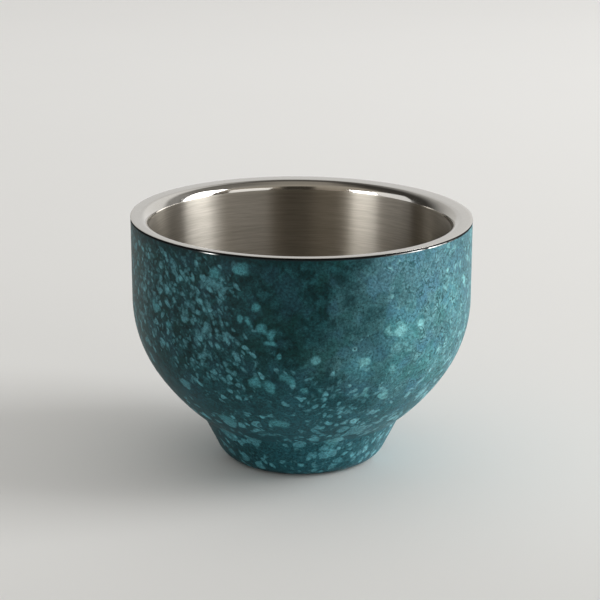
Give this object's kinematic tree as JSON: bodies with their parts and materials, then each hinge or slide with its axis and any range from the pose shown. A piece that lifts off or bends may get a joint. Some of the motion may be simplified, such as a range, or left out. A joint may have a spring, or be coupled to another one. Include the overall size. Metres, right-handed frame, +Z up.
{
  "type": "sake cup",
  "caption": "Footed double-walled sake cup: brushed steel liner with a rolled, polished rim in a mottled verdigris shell, for serving drinks.",
  "frame": {"origin": "on the cup's axis, at the level of the standing ring under the foot", "axes": "+Z up along the cup's axis; the cup is round, so X and Y are free, with the getter towards +Y"},
  "size_m": [0.07, 0.07, 0.0516],
  "materials": {
    "patina": "satin",
    "liner_steel": "satin",
    "cover_steel": "satin",
    "pressed_steel": "satin",
    "getter_metal": "matte",
    "seal_glass": "gloss"
  },
  "bodies": {
    "root": {"outer_shell": "patina", "inner_cup": "liner_steel", "base_cover": "cover_steel", "base_plate": "pressed_steel", "getter_clip": "pressed_steel", "getter_pellet": "getter_metal", "port_seal": "seal_glass"}
  },
  "joints": []
}
